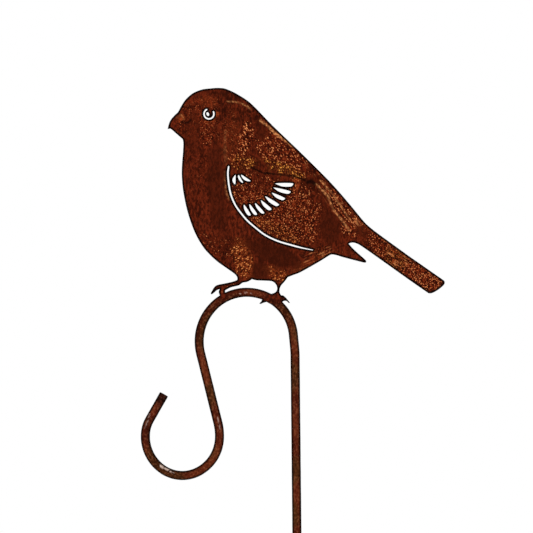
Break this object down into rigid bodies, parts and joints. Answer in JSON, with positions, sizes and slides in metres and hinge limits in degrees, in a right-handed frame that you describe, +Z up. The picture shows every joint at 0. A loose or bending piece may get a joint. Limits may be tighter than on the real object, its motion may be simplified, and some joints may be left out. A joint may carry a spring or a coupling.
{
  "type": "bird-topped hanging hook stake",
  "caption": "Rusted steel garden stake: a flat cut-out bird stands on a round-bar crook that ends in an open hanging hook, and a pronged fork goes into the soil.",
  "frame": {"origin": "on the pole's axis at the ground line, level with the underside of the fork's crossbar", "axes": "+Z up along the pole, +X from the hook's side towards the bird's tail, -Y the side that the bird's sheet lies on"},
  "size_m": [0.2841, 0.0123, 1.1995],
  "materials": {
    "bird_sheet": "weathered steel sheet, rusted matt and mottled, darker cut edges",
    "crook_bar": "weathered round bar, rusted matt with a few rubbed spots",
    "ground_fork": "weathered round bar, rusted matt",
    "weld_metal": "rusted weld bead"
  },
  "bodies": {
    "root": {"bird_plate": "bird_sheet", "crook_bar": "crook_bar", "ground_fork": "ground_fork", "fork_weld": "weld_metal", "front_toe_weld": "weld_metal", "rear_foot_weld_upper": "weld_metal", "rear_foot_weld_lower": "weld_metal"}
  },
  "joints": []
}
